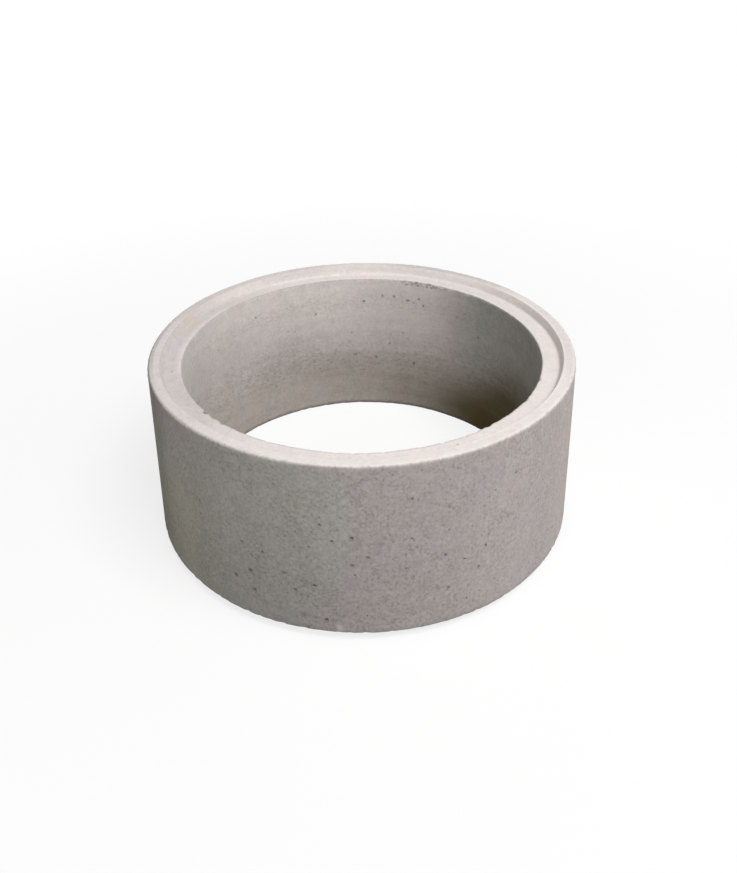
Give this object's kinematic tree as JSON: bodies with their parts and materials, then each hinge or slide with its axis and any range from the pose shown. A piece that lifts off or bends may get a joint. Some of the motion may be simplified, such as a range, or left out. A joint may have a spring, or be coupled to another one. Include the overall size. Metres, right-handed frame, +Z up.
{
  "type": "concrete culvert ring",
  "caption": "Short upright precast concrete ring with a wide straight bore, a rebated top end and a matching spigot below, stacked or laid end to end as a culvert, well or shaft.",
  "frame": {"origin": "on the ring's axis, at the level of the floor that the spigot's tip stands on", "axes": "+Z up along the ring's axis, towards the rebated end; the ring is round, so X and Y are free"},
  "size_m": [1.18, 1.1796, 0.5],
  "materials": {
    "concrete": "matte"
  },
  "bodies": {
    "root": {"concrete_ring": "concrete"}
  },
  "joints": []
}
